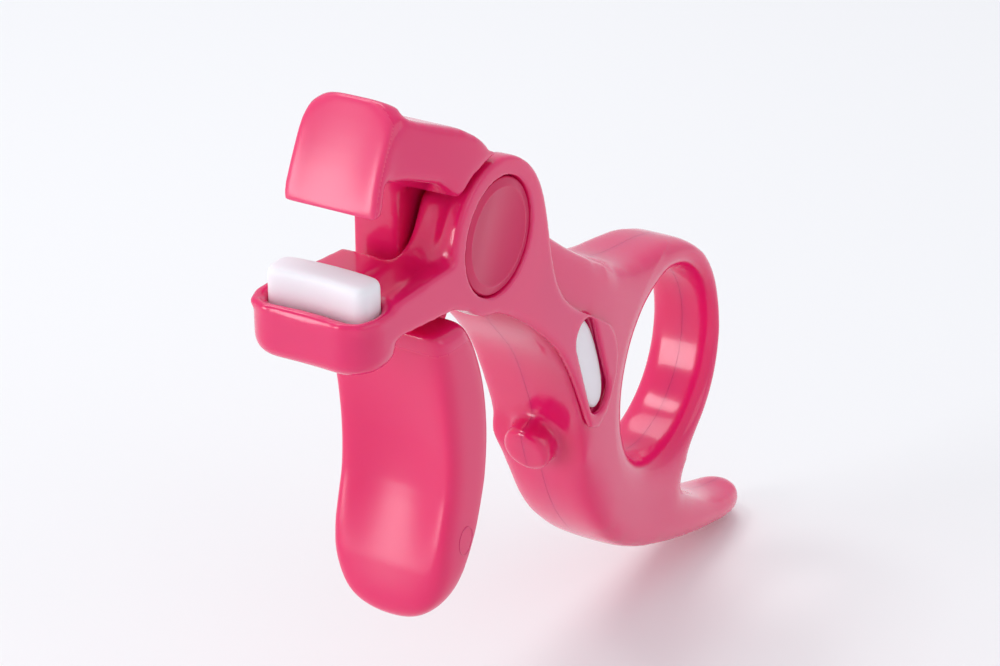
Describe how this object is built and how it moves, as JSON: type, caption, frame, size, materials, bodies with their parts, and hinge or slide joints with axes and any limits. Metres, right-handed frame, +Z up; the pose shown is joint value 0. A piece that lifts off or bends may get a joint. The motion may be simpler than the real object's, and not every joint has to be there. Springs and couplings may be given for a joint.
{
  "type": "eyelash curler",
  "caption": "Pistol-style mini eyelash curler with a finger ring, sprung trigger lever, short curved jaw with silicone pad, and a spare pad in the grip.",
  "frame": {"origin": "centre of the finger ring, on the grip's middle plane", "axes": "+X from the jaws back to the finger ring and tail, +Z up from the trigger's tip to the upper jaw, +Y along the pivot pin away from the pad window"},
  "size_m": [0.0915, 0.0144, 0.0809],
  "materials": {
    "pink_plastic": "glossy moulded plastic, satin on the upper jaw's front",
    "pink_badge": "satin moulded plastic disc with a plain raised ring",
    "white_silicone": "matt white silicone",
    "steel": "bright zinc-plated steel"
  },
  "bodies": {
    "frame": {"grip_shell_left": "pink_plastic", "grip_shell_right": "pink_plastic", "jaw_frame": "pink_plastic", "curling_pad": "white_silicone", "spare_pad": "white_silicone", "badge_left": "pink_badge", "pivot_pin": "steel", "retaining_clip": "steel", "return_spring": "steel", "shell_screws": "steel"},
    "lever": {"squeeze_lever": "pink_plastic", "badge_right": "pink_badge"}
  },
  "joints": [
    {"name": "squeeze_pivot", "type": "hinge", "parent": "frame", "child": "lever", "pos_m": [-0.0418, 0, 0.0321], "axis": [0, -1, 0], "range_deg": [0, 15.4], "stiffness_Nm_per_rad": 0.06, "springref_deg": -28.65}
  ]
}
